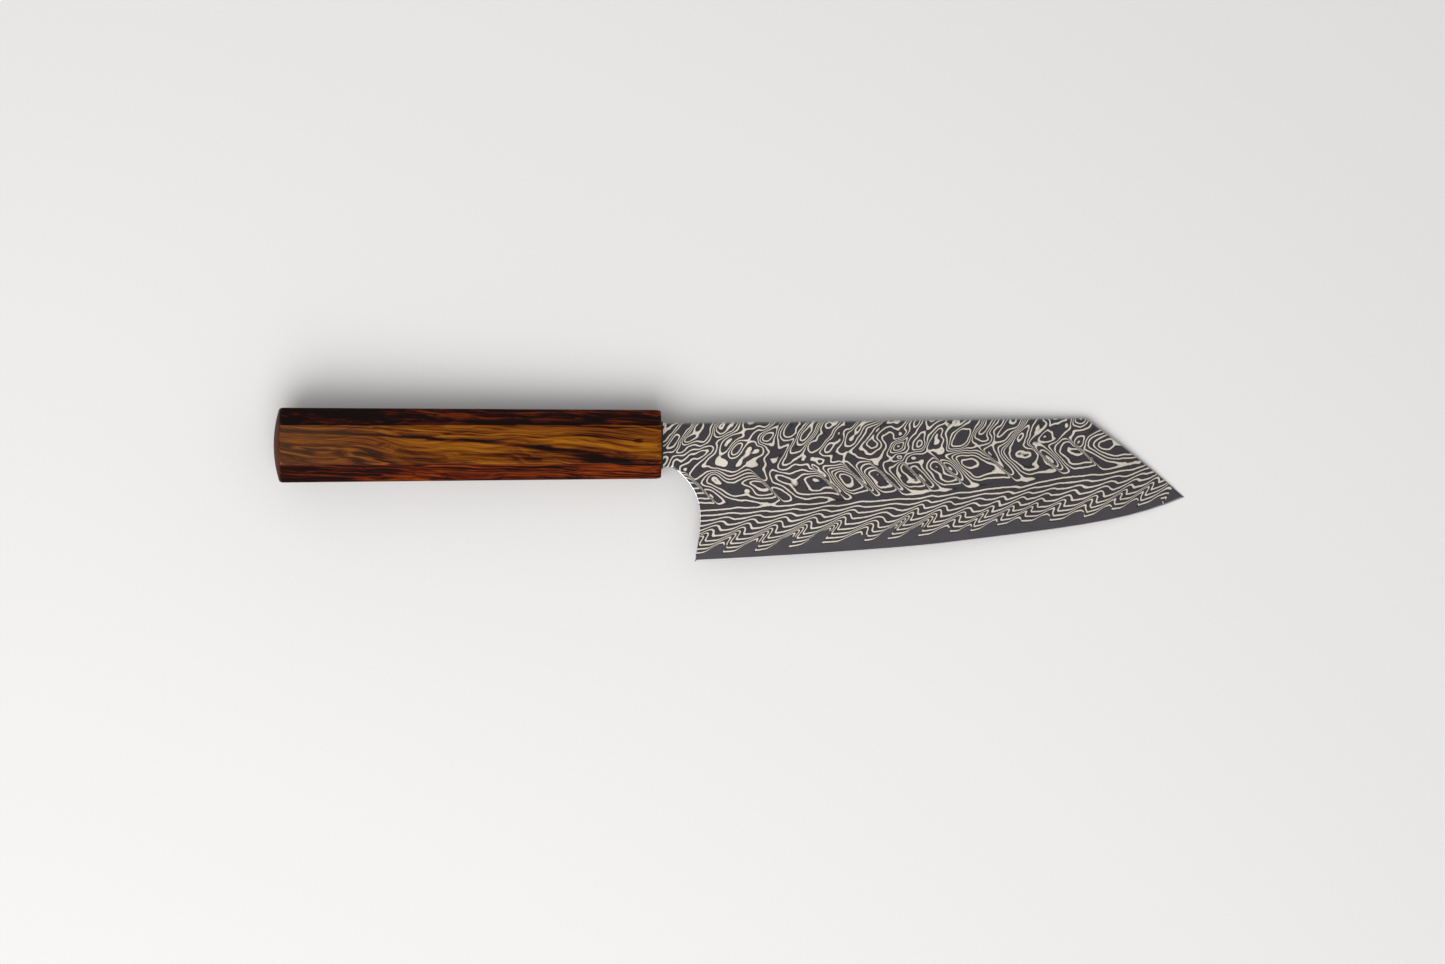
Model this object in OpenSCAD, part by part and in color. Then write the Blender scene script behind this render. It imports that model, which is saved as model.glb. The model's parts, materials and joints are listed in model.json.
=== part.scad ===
// Kitchen knife with a straight clipped point: a laminated blade in an eight-sided wooden handle.
// It lies on its left side, as on a bench: the handle's front corner and the point touch the
// surface. +X runs to the point, +Y to the spine, +Z up out of the blade's right face, and the
// origin is under the middle of the whole knife, on the surface.
// Every part is drawn in the knife's own frame, which has the handle's axis along X and the middle
// of the handle's front face at zero. Only the last module, lying(), puts it on the surface.

/* [Blade] */
// Length of the edge from the heel to the point, along the handle's axis
blade_length = 165; // [155:1:175]
// Height of the blade at the heel, from the spine to the edge
blade_height = 46.7; // [44:0.1:49]
// Thickness of the spine above the heel
spine_thick = 2.3; // [2:0.1:2.3]
// Thickness of the spine at the corner where the clipped point begins
corner_thick = 1.6; // [1.6:0.1:2]
// Thickness just behind the sharpened edge at the heel
edge_thick = 0.4; // [0.4:0.02:0.6]
// Angle of the sharpened edge on each side
edge_angle = 15; // [10:1:20]
// Width of the flat left along the very edge
edge_flat = 0.04; // [0.02:0.01:0.08]

/* [Layers] */
// Share of the thickness that is core steel, where cladding covers it
core_share = 0.4; // [0.3:0.05:0.5]
// Length of bare core steel at the point
bare_point = 7; // [5:0.5:10]

/* [Neck and tang] */
// Height of the neck between the handle and the blade
neck_height = 14.9; // [13:0.1:17]
// Gap between the handle's front face and the neck's shoulders
shoulder_gap = 0.8; // [0.5:0.1:1.5]
// Length of the tang inside the handle
tang_length = 92; // [70:1:100]
// Height of the tang at its root
tang_root = 11; // [9:0.5:12]
// Height of the tang at its end
tang_tip = 6; // [4:0.5:8]
// Thickness of the tang
tang_thick = 1.8; // [1.5:0.05:1.85]

/* [Handle] */
// Length of the handle
handle_length = 130; // [120:1:150]
// Height of the handle at its front face
front_height = 23.1; // [21:0.1:26]
// Thickness of the handle at its front face
front_thick = 18.6; // [17:0.1:21]
// Height of the handle at the butt
butt_height = 25.2; // [23:0.1:28]
// Thickness of the handle at the butt
butt_thick = 20.2; // [18:0.1:23]
// Distance from the handle's axis to a slanted side, at the front face
front_slant = 11.14; // [10.4:0.02:11.6]
// Distance from the handle's axis to a slanted side, at the butt
butt_slant = 11.88; // [11:0.02:12.6]
// Radius of the domed butt
dome_radius = 41; // [30:1:80]
// How far the eight long corners are eased back
corner_ease = 0.1; // [0.05:0.05:0.3]

/* [Slot and bedding] */
// Depth of the slot that the tang is glued into
slot_depth = 95; // [80:1:110]
// Height of the slot at its mouth
slot_mouth = 12.4; // [12.2:0.1:14]
// Height of the slot at its bottom
slot_end = 8; // [6:0.1:10]
// Width of the slot at its mouth
slot_wide = 3.4; // [2.8:0.1:4]
// Width of the slot at its bottom
slot_narrow = 2.4; // [2.1:0.1:3]
// Height of the bead that closes the slot's mouth
seal_height = 16; // [15.2:0.1:18]
// Width of the bead that closes the slot's mouth
seal_width = 4.6; // [4:0.1:6]

/* [Hidden] */

edge_steps = 9;    // straight stretches in each half of the edge curve
choil_steps = 14;  // straight stretches in the rounded choil
clip_steps = 5;    // straight stretches in the clipped point
corner_steps = 3;  // straight stretches in the rounded corner of the spine
round_sides = 48;  // sides of the small round ends
dome_sides = 96;   // sides of the domed butt
reach = 400;       // larger than the knife, for the solids that only cut
slab = 20;         // thicker than the blade and the slot, for the outlines that cut them
past = 20;         // how far the border that tells the layers apart runs past the blank

// Outline of the nominal blade, in the knife's frame. It is stretched to the sizes above.
nominal_length = 165;
nominal_height = 46.7;
heel = [11.4, -39.5];
joint = [94, -33.61];
point = [176.4, -18.17];
spine_start = [shoulder_gap, 7.15];
spine_corner = [143.3, 8.49];
neck_low = [4.1, 7.15 - neck_height];
edge_curve_back = [heel, [41.2, -38.1], [82.2, -35.02], joint];
edge_curve_front = [joint, [142.2, -27.86], [158, -25.95], point];
choil_curve = [neck_low, [15.4, -17], [13.85, -24.3], heel];
clip_bulge = [160.4, -4.1];  // pulls the clipped point a little proud of a straight line
corner_round = 1.8;          // how far the spine's corner is rounded along each side
tang_lap = 1.5;              // how far the tang's root runs on into the neck
bare_toe = 0.4;              // height above the edge at which the cladding's front border begins

function stretch(p) = [
    p.x <= neck_low.x ? p.x : neck_low.x + (p.x - neck_low.x) * span / nominal_span,
    p.y >= neck_low.y ? p.y : neck_low.y + (p.y - neck_low.y) * drop / nominal_drop];
nominal_span = point.x - neck_low.x;
nominal_drop = neck_low.y - heel.y;
span = nominal_span + blade_length - nominal_length;
drop = nominal_drop + blade_height - nominal_height;

function cubic(c, t) = pow(1 - t, 3) * c[0] + 3 * pow(1 - t, 2) * t * c[1]
    + 3 * (1 - t) * t * t * c[2] + pow(t, 3) * c[3];
function quadratic(a, b, c, t) = (1 - t) * (1 - t) * a + 2 * (1 - t) * t * b + t * t * c;
function toward(a, b, d) = a + (b - a) * d / norm(b - a);

edge_line = [
    for (i = [0:edge_steps]) stretch(cubic(edge_curve_back, i / edge_steps)),
    for (i = [1:edge_steps]) stretch(cubic(edge_curve_front, i / edge_steps))];
choil_line = [for (i = [0:choil_steps - 1]) stretch(cubic(choil_curve, i / choil_steps))];
corner_back = toward(spine_corner, spine_start, corner_round);
corner_front = toward(spine_corner, point, corner_round);
clip_line = [for (i = [1:clip_steps])
    stretch(quadratic(point, clip_bulge, corner_front, i / clip_steps))];
corner_line = [for (i = [1:corner_steps])
    stretch(quadratic(corner_front, spine_corner, corner_back, i / corner_steps))];

blade_outline = concat([[shoulder_gap, neck_low.y]], choil_line, edge_line,
    clip_line, corner_line, [spine_start]);

// Height of the edge at a place along the blade
function edge_at(x) = lookup(x, edge_line);

// The flanks are flat planes, thinner toward the edge and toward the point.
lean_up = (spine_thick - edge_thick) / 2 / (spine_start.y - stretch(heel).y);
lean_along = ((corner_thick - spine_thick) / 2 - lean_up * (spine_corner.y - spine_start.y))
    / (stretch(spine_corner).x - heel.x);
flank_zero = spine_thick / 2 - lean_along * heel.x - lean_up * spine_start.y;
function flank(p) = flank_zero + lean_along * p.x + lean_up * p.y;

// The cladding ends above the edge in a row of waves that lean over toward the point at 45 degrees.
// Each wave is [where it starts along the blade, height above the edge in its trough, at its crest].
waves = [
    [-1, 2.2, 5], [10, 2.2, 5.4], [20.3, 2.2, 5.8], [31, 2, 6.8], [42.6, 2.6, 8], [53.8, 3.2, 5.6],
    [68.1, 2.8, 7], [75.9, 2.8, 6.6], [86.2, 2.9, 5.2], [97, 3.2, 4.6], [103.6, 2.4, 5.2],
    [112.9, 3.4, 4.9], [121, 3.6, 4.8], [130.5, 2.6, 4.4], [141.8, 2, 4.4], [151.5, 2.8, 4.4],
    [160, 2, 3.2], [171, 2.4, 3]];
// Places along one wave, as shares of its length, close together where it rises steeply
wave_steps = [0, 0.12, 0.26, 0.36, 0.415, 0.45, 0.49, 0.525, 0.58, 0.68, 0.82, 0.95];
rise_place = 0.47;  // share of the wave's length where it rises
rise_width = 0.04;  // how sharply it rises
crest_slope = 0.1;  // share of the rise that is left for the whole length
crest_droop = 0.12; // how far the crest falls again before it breaks

function ease(t) = let (c = max(0, min(1, t))) c * c * (3 - 2 * c);
function wave_rise(u) = crest_slope * u
    + (1 - crest_slope) / (1 + exp((rise_place - u) / rise_width));
function wave_height(u, trough, crest) =
    trough + (crest - trough) * wave_rise(u) * (1 - crest_droop * ease((u - 0.7) / 0.25));
function wave_point(x, height) = let (along = stretch([x, 0]).x) [along, edge_at(along) + height];
function wave_points(a, b) = [for (u = wave_steps) let (
    trough = a[1] + (b[1] - a[1]) * u,
    height = wave_height(u, trough, a[2]),
    start = a[0] - a[1] + u * (b[0] - b[1] - a[0] + a[1])) wave_point(start + height, height)];
cladding_line = [for (i = [0:len(waves) - 2]) each wave_points(waves[i], waves[i + 1])];

// The knife lies with its point and the front corner of its handle on the surface.
tip_half = flank(stretch(point));
nose_down = atan((front_thick / 2 - tip_half) / stretch(point).x);
lift = front_thick / 2 * cos(nose_down);
low_x = (dome_radius - handle_length) * cos(nose_down) - dome_radius;
high_x = stretch(point).x * cos(nose_down);
middle_x = (low_x + high_x) / 2;
middle_y = (butt_height / 2 + stretch(heel).y) / 2;

module lying()
    translate([-middle_x, -middle_y, lift]) rotate([0, nose_down, 0]) children();

// Everything below the plane z = zero + along * x + up * y
module below(zero, along, up)
    translate([0, 0, zero])
        rotate([atan(up * cos(atan(along))), -atan(along), 0])
            translate([-reach, -reach, -reach]) cube([2 * reach, 2 * reach, reach]);

// Everything between that plane and its mirror image under the blade
module between(zero, along, up) intersection() {
    below(zero, along, up);
    mirror([0, 0, 1]) below(zero, along, up);
}

// One straight stretch of the sharpened edge, ground on both sides
module ground(a, b) {
    way = (b - a) / norm(b - a);
    along = -way.y * tan(edge_angle);
    up = way.x * tan(edge_angle);
    between(edge_flat / 2 - along * a.x - up * a.y, along, up);
}

module tang_shape() linear_extrude(tang_thick, center = true) {
    polygon([[shoulder_gap + tang_lap, tang_root / 2], [shoulder_gap + tang_lap, -tang_root / 2],
        [shoulder_gap, -tang_root / 2], [tang_tip / 2 - tang_length, -tang_tip / 2],
        [tang_tip / 2 - tang_length, tang_tip / 2], [shoulder_gap, tang_root / 2]]);
    translate([tang_tip / 2 - tang_length, 0]) circle(d = tang_tip, $fn = round_sides);
}

// The whole blank with its flanks and its edge ground, before it is told apart into layers
module ground_blade() {
    intersection() {
        linear_extrude(slab, center = true) polygon(blade_outline);
        between(flank_zero, lean_along, lean_up);
        intersection_for(i = [0:len(edge_line) - 2]) ground(edge_line[i], edge_line[i + 1]);
    }
    tang_shape();
}

// The part of the blank that cladding covers: behind the bare point, above the waves
module covered() linear_extrude(slab, center = true) {
    above_edge = [for (p = cladding_line) if (p.x < covered_end) p];
    polygon(concat(above_edge, [[covered_end, edge_at(covered_end) + bare_toe],
        [covered_end + 3, edge_at(covered_end) + 6], [covered_end + 12, spine_corner.y + past],
        [-tang_length - past, spine_corner.y + past], [-tang_length - past, -past], [0, -past]]));
}
covered_end = stretch(point).x - bare_point;

module core_steel() color([0.36, 0.36, 0.38]) lying() {
    intersection() {
        ground_blade();
        between(flank_zero * core_share, lean_along * core_share, lean_up * core_share);
    }
    difference() {
        ground_blade();
        covered();
    }
}

module cladding() intersection() {
    difference() {
        ground_blade();
        below(flank_zero * core_share, lean_along * core_share, lean_up * core_share);
    }
    covered();
}

module right_cladding() color([0.5, 0.48, 0.45]) lying() cladding();

module left_cladding() color([0.5, 0.48, 0.45]) lying() mirror([0, 0, 1]) cladding();

// One of the handle's long flat sides, which leans outward toward the butt
module side(angle, front, butt)
    rotate([angle, 0, 0]) below(front, (front - butt) / handle_length, 0);

// Distance from the axis to the corner between a straight side and a slanted one
function corner_reach(straight, slant) =
    straight * cos(22.5) + (sqrt(2) * slant - straight) * sin(22.5) - corner_ease;

// The four corners beside two opposite straight sides, eased back a little
module eased_corners(angle, front, butt) intersection_for(turn = [0, 180])
    intersection_for(lean = [-22.5, 22.5])
        side(angle + turn + lean, corner_reach(front, front_slant), corner_reach(butt, butt_slant));

// A round bar with a domed end, which the handle's butt is rounded to
module domed_bar() rotate([0, 90, 0]) {
    translate([0, 0, dome_radius - handle_length]) {
        sphere(dome_radius, $fn = dome_sides);
        cylinder(handle_length - dome_radius, r = dome_radius, $fn = dome_sides);
    }
}

module handle_block() intersection() {
    domed_bar();
    intersection_for(turn = [0, 180]) side(turn, front_thick / 2, butt_thick / 2);
    intersection_for(turn = [90, 270]) side(turn, front_height / 2, butt_height / 2);
    intersection_for(turn = [45:90:315]) side(turn, front_slant, butt_slant);
    eased_corners(0, front_thick / 2, butt_thick / 2);
    eased_corners(90, front_height / 2, butt_height / 2);
}

// A slot that narrows both ways toward its bottom; out is how far it runs out of the front face
module slot(out) intersection() {
    linear_extrude(slab, center = true) polygon([
        [out, slot_mouth / 2], [0, slot_mouth / 2], [-slot_depth, slot_end / 2],
        [-slot_depth, -slot_end / 2], [0, -slot_mouth / 2], [out, -slot_mouth / 2]]);
    rotate([90, 0, 0]) linear_extrude(slab, center = true) polygon([
        [out, slot_wide / 2], [0, slot_wide / 2], [-slot_depth, slot_narrow / 2],
        [-slot_depth, -slot_narrow / 2], [0, -slot_wide / 2], [out, -slot_wide / 2]]);
}

module handle_body() color([0.62, 0.36, 0.13]) lying() difference() {
    handle_block();
    slot(past);
}

module tang_bedding() color([0.2, 0.17, 0.14]) lying() difference() {
    slot(0);
    tang_shape();
}

module mouth_seal() color([0.12, 0.1, 0.09]) lying() difference() {
    middle = spine_start.y - neck_height / 2;
    corner = seal_width / 2;
    translate([0, middle, 0]) rotate([0, 90, 0]) linear_extrude(shoulder_gap) {
        square([seal_width, seal_height - seal_width], center = true);
        for (end = [-1, 1])
            translate([0, end * (seal_height / 2 - corner)]) circle(corner, $fn = round_sides);
    }
    tang_shape();
}

core_steel();
right_cladding();
left_cladding();
handle_body();
tang_bedding();
mouth_seal();
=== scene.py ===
import json
import math

import bmesh
import bpy
import numpy as np
from mathutils import Matrix, Vector
from mathutils.geometry import delaunay_2d_cdt


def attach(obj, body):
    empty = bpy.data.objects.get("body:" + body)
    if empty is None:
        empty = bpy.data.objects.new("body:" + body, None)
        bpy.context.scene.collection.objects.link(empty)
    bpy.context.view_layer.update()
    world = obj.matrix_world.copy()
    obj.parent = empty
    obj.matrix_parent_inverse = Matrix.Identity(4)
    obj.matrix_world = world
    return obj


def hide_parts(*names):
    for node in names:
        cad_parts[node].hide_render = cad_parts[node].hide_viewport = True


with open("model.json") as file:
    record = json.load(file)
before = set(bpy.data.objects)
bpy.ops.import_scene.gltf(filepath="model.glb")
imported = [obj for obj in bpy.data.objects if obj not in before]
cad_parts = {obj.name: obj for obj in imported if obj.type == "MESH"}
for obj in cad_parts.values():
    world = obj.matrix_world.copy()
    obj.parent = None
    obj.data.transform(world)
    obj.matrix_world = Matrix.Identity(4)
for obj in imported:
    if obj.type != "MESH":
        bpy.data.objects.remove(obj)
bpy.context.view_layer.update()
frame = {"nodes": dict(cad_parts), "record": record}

bl_info = {
    "name": "Laminated kitchen knife",
    "version": (1, 0, 0),
    "blender": (4, 5, 0),
    "location": "3D View > Sidebar > Knife",
    "description": "Builds a pattern-welded kitchen knife around its packed CAD frame",
    "category": "Add Mesh",
}

MM = 0.001
BODY = "root"
# Within how many millimetres a point counts as lying on a line
ON_LINE = 0.02
# A nudge past the neck's shoulders, in millimetres, so that points at the shoulders fall on one side
NUDGE = 0.01


# ---------------------------------------------------------------- the knife's own frame

def knife_axes():
    """The knife's own axes in the row's frame: X runs to the point along the handle's axis, Y to the
    spine, Z out of the right face, and zero is the middle of the handle's front face."""
    mounts = {m["name"]: m for m in frame["record"]["mounts"]}
    right, left = mounts["right_side_of_handle"], mounts["left_side_of_handle"]
    up = (Vector(right["axis"]) - Vector(left["axis"])).normalized()
    spineward = Vector((0, 1, 0))
    along = spineward.cross(up).normalized()
    middle = (Vector(right["pos_m"]) + Vector(left["pos_m"])) / 2
    front = max((v.co - middle).dot(along) for v in frame["nodes"]["handle_body"].data.vertices)
    axes = Matrix((along, spineward, up)).transposed().to_4x4()
    return Matrix.Translation(middle + along * front) @ axes


TO_ROW = knife_axes()
TO_KNIFE = TO_ROW.inverted()


def flank_plane():
    """The right flank as z = zero + along * x + up * y, in millimetres in the knife's own frame."""
    flank = next(m for m in frame["record"]["mounts"] if m["name"] == "right_flank")
    place = TO_KNIFE @ Vector(flank["pos_m"]) / MM
    normal = TO_KNIFE.to_3x3() @ Vector(flank["axis"])
    along, up = -normal.x / normal.z, -normal.y / normal.z
    return place.z - along * place.x - up * place.y, along, up


FLANK_ZERO, FLANK_ALONG, FLANK_UP = flank_plane()


def flank(x, y):
    """Half the blade's thickness at a place, in millimetres."""
    return FLANK_ZERO + FLANK_ALONG * x + FLANK_UP * y


def cad_copy(node):
    """A merged copy of a CAD node's mesh, in millimetres in the knife's own frame."""
    bm = bmesh.new()
    bm.from_mesh(frame["nodes"][node].data)
    bm.transform(Matrix.Scale(1 / MM, 4) @ TO_KNIFE)
    bmesh.ops.remove_doubles(bm, verts=bm.verts, dist=0.002)
    return bm


def cad_points(node):
    """A CAD node's points, in millimetres in the knife's own frame."""
    bm = cad_copy(node)
    points = np.array([tuple(v.co) for v in bm.verts])
    bm.free()
    return points


def ordered(pairs):
    """The vertices of a closed loop, in order, from the pairs that its edges join."""
    after = {}
    for a, b in pairs:
        after.setdefault(a, []).append(b)
        after.setdefault(b, []).append(a)
    start = pairs[0][0]
    loop, last, here = [start], None, start
    while True:
        step = next((v for v in after[here] if v != last), None)
        if step is None or step == start:
            return loop
        loop.append(step)
        last, here = here, step


def counterclockwise(points):
    """A closed line's points, turned round where they run clockwise."""
    points = np.array(points)
    x, y = points.T
    area = np.sum(x * np.roll(y, -1) - y * np.roll(x, -1))
    return points if area > 0 else points[::-1]


def cladding_loop():
    """The outline of the pattern-welded face, seen square on, with its wavy lower border."""
    bm = cad_copy("right_cladding")
    on_flank = 0.004
    face_up = [f for f in bm.faces
               if all(abs(v.co.z - flank(v.co.x, v.co.y)) < on_flank for v in f.verts)]
    chosen = set(face_up)
    rim = [e for f in face_up for e in f.edges if sum(g in chosen for g in e.link_faces) == 1]
    loop = ordered([(e.verts[0], e.verts[1]) for e in rim])
    points = counterclockwise([(v.co.x, v.co.y) for v in loop])
    bm.free()
    return points


def core_outline():
    """The core steel's outline in the middle of its thickness, tang and all."""
    bm = cad_copy("core_steel")
    cut = bmesh.ops.bisect_plane(bm, geom=bm.verts[:] + bm.edges[:] + bm.faces[:], dist=0.0005,
                                 plane_co=(0, 0, 0), plane_no=(0, 0, 1))
    pairs = [tuple(e.verts) for e in cut["geom_cut"] if isinstance(e, bmesh.types.BMEdge)]
    points = [(v.co.x, v.co.y) for v in ordered(pairs)]
    bm.free()
    return points


def blade_loop():
    """The outline of the whole blade and neck in the middle of its thickness, without the tang."""
    shoulder = cladding_start() - NUDGE
    return counterclockwise([p for p in core_outline() if p[0] > shoulder])


def cladding_start():
    """Where the neck's shoulders stand, along the knife."""
    return min(CLAD[:, 0])


CLAD = cladding_loop()
BLADE = blade_loop()


def distance_to(loop, points):
    """How far each point is from a closed line."""
    a, b = loop, np.roll(loop, -1, axis=0)
    way = b - a
    length = np.maximum((way ** 2).sum(1), 1e-12)
    near = np.full(len(points), np.inf)
    for i in range(len(a)):
        t = np.clip(((points - a[i]) @ way[i]) / length[i], 0, 1)
        near = np.minimum(near, np.hypot(*(points - a[i] - t[:, None] * way[i]).T))
    return near


def wave_line():
    """The cladding's lower border, from the choil to the clipped point, both ends included."""
    inner = distance_to(BLADE, CLAD) > ON_LINE
    first = next(i for i in range(len(CLAD)) if inner[i] and not inner[i - 1])
    turned = np.roll(CLAD, 1 - first, axis=0)
    count = int(np.roll(inner, 1 - first)[1:].argmin())
    return turned[:count + 2]


def bare_loop():
    """The outline of the bare core steel: the wave line, then the edge back to the choil."""
    waves = wave_line()
    start, stop = waves[0], waves[-1]
    first, last = (int(np.hypot(*(BLADE - p).T).argmin()) for p in (start, stop))
    around = np.roll(BLADE, -first, axis=0)[:(last - first) % len(BLADE) + 1]
    # Points this near to the ends of the wave line stand for the ends themselves
    doubled, least = 0.05, 0.03
    edge = [p for p in around if below_waves(p, start, stop)
            and min(np.hypot(*(p - start)), np.hypot(*(p - stop))) > doubled]
    return spaced(counterclockwise(np.vstack([edge, waves[::-1]])), least)


def spaced(loop, least):
    """The loop without the points that lie closer than this to the one kept before them."""
    kept = [loop[0]]
    for point in loop[1:]:
        if min(np.hypot(*(point - kept[-1])), np.hypot(*(point - kept[0]))) > least:
            kept.append(point)
    return np.array(kept)


def below_waves(point, start, stop):
    """Whether an outline point belongs to the bare steel: past either end of the wave line it
    doesn't, which is on the choil above its start and on the clipped point above its end."""
    choil_reach = 6
    if point[0] < start[0] + choil_reach:
        return point[1] < start[1]
    return point[1] < stop[1] or point[0] > stop[0]


def edge_line():
    """The cutting edge, from the heel to the point."""
    heel = int(BLADE[:, 1].argmin())
    point = int(BLADE[:, 0].argmax())
    return np.roll(BLADE, -heel, axis=0)[:(point - heel) % len(BLADE) + 1]


def edge_height(x):
    """The height of the cutting edge at a place along the blade."""
    return np.interp(x, *edge_line().T)


# ---------------------------------------------------------------- small helpers

def linear(code):
    """An sRGB hex colour as linear red, green, blue and alpha."""
    parts = [int(code[i:i + 2], 16) / 255 for i in (1, 3, 5)]
    return tuple(c / 12.92 if c <= 0.04045 else ((c + 0.055) / 1.055) ** 2.4 for c in parts) + (1.0,)


def add(tree, kind, inputs=(), **settings):
    """Adds a node with its settings. Its inputs are listed from the first socket on, or keyed by
    socket. Each is a value, or else a socket, or a node's first output, that it is linked to."""
    node = tree.nodes.new(kind)
    for name, value in settings.items():
        setattr(node, name, value)
    keyed = inputs.items() if isinstance(inputs, dict) else enumerate(inputs)
    for key, value in keyed:
        source = value.outputs[0] if isinstance(value, bpy.types.Node) else value
        if isinstance(source, bpy.types.NodeSocket):
            tree.links.new(source, node.inputs[key])
        else:
            node.inputs[key].default_value = source
    return node


def new_material(name):
    """An empty material with its shader and output joined."""
    material = bpy.data.materials.new(name)
    material.use_nodes = True
    tree = material.node_tree
    tree.nodes.clear()
    shader = add(tree, "ShaderNodeBsdfPrincipled")
    add(tree, "ShaderNodeOutputMaterial", {"Surface": shader.outputs[0]})
    return material, tree, shader


def knife_place(tree):
    """The place on the knife in millimetres in its own frame, whichever way it lies."""
    place = add(tree, "ShaderNodeTexCoord").outputs["Object"]
    turn = TO_KNIFE.to_3x3().to_4x4().to_euler()
    return add(tree, "ShaderNodeMapping", [place, TO_KNIFE.translation / MM, turn, (1 / MM,) * 3])


def piece(name, mesh, material, replaced):
    """Puts a finished mesh in the scene as a piece that stands for a CAD node."""
    thing = bpy.data.objects.new(name, mesh)
    bpy.context.scene.collection.objects.link(thing)
    mesh.materials.clear()
    mesh.materials.append(material)
    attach(thing, BODY)
    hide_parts(replaced)


# ---------------------------------------------------------------- the steel's layers

# The cladding ends above the edge in waves that lean over toward the point at 45 degrees. Each is
# where it starts along the blade, its height above the edge in its trough and at its crest, in mm.
WAVES = np.array([
    (-1, 2.2, 5), (10, 2.2, 5.4), (20.3, 2.2, 5.8), (31, 2, 6.8), (42.6, 2.6, 8), (53.8, 3.2, 5.6),
    (68.1, 2.8, 7), (75.9, 2.8, 6.6), (86.2, 2.9, 5.2), (97, 3.2, 4.6), (103.6, 2.4, 5.2),
    (112.9, 3.4, 4.9), (121, 3.6, 4.8), (130.5, 2.6, 4.4), (141.8, 2, 4.4), (151.5, 2.8, 4.4),
    (160, 2, 3.2), (171, 2.4, 3), (182, 2.4, 3)])
# Where the curls over the middle of the blade break, along the middle line
CURLS = np.array([-12, 2, 21, 43, 63.5, 74, 83, 93, 104.5, 121, 137, 150, 170, 190])
# Closed rings in the pattern: middle along and up, half length, half height, lean, strength
EYES = [
    (23.4, -11.2, 4.6, 4.2, 0.2, 3.2), (29.3, -15.4, 1.9, 1.7, 0.4, 1.2),
    (45.1, -11.6, 4.6, 3.9, 0.2, 2.6), (56, -10.4, 3.6, 2, 0.9, 2.2), (33.6, -10.8, 4, 2.2, 0.9, 1.4),
    (66.6, -9.6, 3.6, 3.6, 0.8, 3.4), (78.3, -9, 3.6, 3.4, 0.8, 3), (88.4, -8.3, 3.6, 3.4, 0.7, 3.2),
    (97.5, -7.9, 3.2, 3, 0.6, 3), (112.2, -3.8, 5.2, 4, 0.4, 3.2), (130.8, -3.4, 4.4, 3.8, 0.3, 3.2),
    (141.2, 0.7, 2.4, 2.8, -0.5, 2.2), (9.2, 1.6, 2.6, 1.7, -1, 2.8), (22, -1.4, 2.4, 3.4, -0.4, 2.4),
    (32.5, -2.4, 3, 2.6, -0.6, 2), (56.5, -1.8, 2.2, 3, -0.4, 2.4), (81, 3, 2.6, 2.6, -0.6, 2.4),
    (101, 2.4, 3, 2.6, -0.5, 2.4)]
# Millimetres from one bright layer to the next, up to this height over the first, and above it
WAVE_HEIGHT, WAVE_PITCH, UPPER_PITCH = 5, 1.3, 1.75
# Straight faults near the spine: where each crosses the height FAULT_TOP, how far below it reaches,
# and how many layers it shifts. They lean toward the point by FAULT_LEAN for each millimetre up.
FAULT_TOP, FAULT_LEAN = 8, 0.72
FAULTS = [(3, 9, 3), (7.5, 10, -3.4), (12.5, 12, 3.2), (20.5, 12, -3), (27, 9, 2), (38, 10, -3.4),
          (42, 8, 2.4), (50, 12, 3.2), (55, 10, -2.8), (61, 12, 3), (66.5, 9, -3), (75, 10, 3.2),
          (84, 12, -3.4), (88, 10, 3), (96, 9, -2.6), (103, 12, 3.2), (109, 9, -3), (117, 12, 3.2),
          (123, 14, -3.4), (132, 9, 2.6), (139, 8, -2.6)]


def ease(low, high, value):
    """Rises smoothly from 0 at low to 1 at high."""
    t = np.clip((value - low) / (high - low), 0, 1)
    return t * t * (3 - 2 * t)


def sharp(value):
    """A step from 0 to 1 around zero."""
    return 1 / (1 + np.exp(-np.clip(value, -40, 40)))


def chance(i, j, seed):
    """A fixed number from 0 to 1 for each pair of whole numbers."""
    value = np.sin(i * 127.1 + j * 311.7 + seed * 74.7) * 43758.5453
    return value - np.floor(value)


def noise(x, y, seed):
    """Smooth noise from -0.5 to 0.5 with a grain of 1."""
    i, j = np.floor(x), np.floor(y)
    u, v = x - i, y - j
    u, v = (t * t * t * (t * (t * 6 - 15) + 10) for t in (u, v))
    low = chance(i, j, seed) * (1 - u) + chance(i + 1, j, seed) * u
    high = chance(i, j + 1, seed) * (1 - u) + chance(i + 1, j + 1, seed) * u
    return low * (1 - v) + high * v - 0.5


def rough(x, y, seed):
    """Two sizes of noise together."""
    return noise(x, y, seed) + 0.28 * noise(x * 2, y * 2, seed + 7)


def cells(starts, place):
    """Which cell of a row each place is in, how far through it, and the cell's length."""
    i = np.clip(np.searchsorted(starts, place) - 1, 0, len(starts) - 2)
    length = starts[i + 1] - starts[i]
    return i, np.clip((place - starts[i]) / length, 0, 1), length


def middle_line(x):
    """The height where the waves from the edge end and the curls begin."""
    return -22 + 0.03 * (x - 11) + 0.00045 * (x - 11) ** 2


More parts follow.
